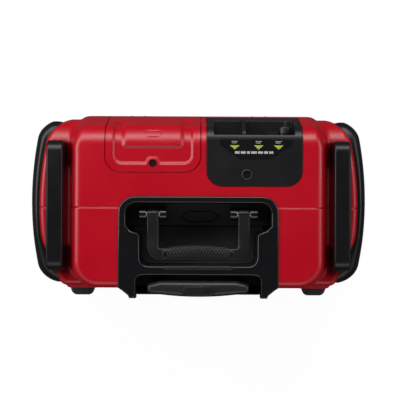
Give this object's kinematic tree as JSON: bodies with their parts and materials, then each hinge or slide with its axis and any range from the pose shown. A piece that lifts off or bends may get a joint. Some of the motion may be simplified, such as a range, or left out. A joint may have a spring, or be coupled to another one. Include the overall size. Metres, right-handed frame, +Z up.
{
  "type": "jump starter pack",
  "caption": "Wheeled jump starter pack: red two-part housing, black end covers, fold-flat carry handle, side grab bars and telescopic trolley handle.",
  "frame": {"origin": "on the floor, under the middle of the whole pack", "axes": "+Z up, -Y towards the control face, +Y towards the trolley handle and wheels, +X towards the access door"},
  "size_m": [0.5058, 0.3, 0.404],
  "materials": {
    "red_shell": "satin, fine texture",
    "black_shell": "fine texture",
    "black_handle": "satin",
    "soft_rubber": "matt",
    "tyre_rubber": "matt",
    "steel": "zinc plated",
    "black_screw": "black oxide",
    "tube_steel": "satin",
    "brass": "bright",
    "black_fitting": "semi-gloss",
    "gloss_label": "gloss print",
    "window": "dark tint",
    "lens": "frosted",
    "button_grey": "satin",
    "button_red": "gloss",
    "battery_case": "matt",
    "battery_core": "matt",
    "board": "solder mask",
    "sink": "plain"
  },
  "bodies": {
    "housing": {"front_housing": "red_shell", "rear_housing": "red_shell", "housing_screws": "steel", "left_end_cover": "black_shell", "right_end_cover": "black_shell", "cover_screws": "black_screw", "door_pins": "steel", "service_tray": "black_fitting", "main_fuse": "black_fitting", "fuse_studs": "brass", "charging_panel": "black_shell", "panel_label": "gloss_label", "panel_screw": "black_screw", "ac_inlet": "black_fitting", "socket_contacts": "brass", "dc_socket": "black_fitting", "round_socket": "black_fitting", "handle_well": "black_shell", "handle_pins": "steel", "left_grab_bar": "black_handle", "right_grab_bar": "black_handle", "bar_screws": "steel", "trolley_cover": "black_shell", "outer_tubes": "tube_steel", "outer_collars": "black_handle", "axles": "steel", "feet": "soft_rubber", "front_panel": "black_shell", "display_window": "window", "accessory_sockets": "black_fitting", "lead_socket": "black_fitting", "power_cables": "soft_rubber", "work_light": "lens", "battery_tray": "black_fitting", "battery_cases": "battery_case", "battery_plates": "battery_core", "battery_posts": "brass", "battery_strap": "steel", "charger_board": "board", "heat_sink": "sink", "fan_frame": "black_fitting"},
    "trolley_mid": {"mid_tubes": "tube_steel", "mid_collars": "black_handle"},
    "trolley_top": {"inner_tubes": "tube_steel", "trolley_grip": "black_handle"},
    "release_button": {"trolley_button": "button_grey"},
    "carry_handle": {"carry_handle": "black_handle", "handle_grip": "soft_rubber"},
    "left_wheel": {"left_wheel": "black_handle", "left_tyre": "tyre_rubber"},
    "right_wheel": {"right_wheel": "black_handle", "right_tyre": "tyre_rubber"},
    "access_door": {"access_door": "red_shell", "door_screw": "black_screw"},
    "socket_cap": {"socket_cap": "soft_rubber"},
    "left_socket_lid": {"left_socket_lid": "soft_rubber"},
    "right_socket_lid": {"right_socket_lid": "soft_rubber"},
    "power_button": {"power_button": "button_red"},
    "selector_knob": {"selector_knob": "black_handle"},
    "fan_rotor": {"fan_rotor": "black_fitting"}
  },
  "joints": [
    {"name": "trolley_lower_slide", "type": "slide", "parent": "housing", "child": "trolley_mid", "axis": [0, 0, 1], "range_m": [0, 0.26]},
    {"name": "trolley_upper_slide", "type": "slide", "parent": "trolley_mid", "child": "trolley_top", "axis": [0, 0, 1], "range_m": [0, 0.26]},
    {"name": "release_press", "type": "slide", "parent": "trolley_top", "child": "release_button", "axis": [0, 0, -1], "range_m": [0, 0.0035], "stiffness_N_per_m": 600},
    {"name": "carry_handle_hinge", "type": "hinge", "parent": "housing", "child": "carry_handle", "pos_m": [0, 0.006, 0.386], "axis": [1, 0, 0], "range_deg": [0, 90]},
    {"name": "left_wheel_spin", "type": "hinge", "parent": "housing", "child": "left_wheel", "pos_m": [0.203, 0.088, 0.062], "axis": [1, 0, 0], "continuous": true},
    {"name": "right_wheel_spin", "type": "hinge", "parent": "housing", "child": "right_wheel", "pos_m": [-0.203, 0.088, 0.062], "axis": [1, 0, 0], "continuous": true},
    {"name": "access_door_hinge", "type": "hinge", "parent": "housing", "child": "access_door", "pos_m": [0.0635, -0.13353, 0.32576], "axis": [1, 0, 0], "range_deg": [0, 100]},
    {"name": "socket_cap_pull", "type": "slide", "parent": "housing", "child": "socket_cap", "axis": [0, -1, 0], "range_m": [0, 0.012]},
    {"name": "left_socket_lid_hinge", "type": "hinge", "parent": "housing", "child": "left_socket_lid", "pos_m": [0.095, -0.1455, 0.244], "axis": [-1, 0, 0], "range_deg": [0, 110]},
    {"name": "right_socket_lid_hinge", "type": "hinge", "parent": "housing", "child": "right_socket_lid", "pos_m": [-0.095, -0.1455, 0.244], "axis": [-1, 0, 0], "range_deg": [0, 110]},
    {"name": "power_press", "type": "slide", "parent": "housing", "child": "power_button", "axis": [0, 1, 0], "range_m": [0, 0.0025], "stiffness_N_per_m": 500},
    {"name": "selector_turn", "type": "hinge", "parent": "housing", "child": "selector_knob", "pos_m": [0.095, -0.14, 0.15], "axis": [0, 1, 0], "range_deg": [-45, 45]},
    {"name": "fan_spin", "type": "hinge", "parent": "housing", "child": "fan_rotor", "pos_m": [-0.226, -0.045, 0.262], "axis": [1, 0, 0], "continuous": true}
  ]
}
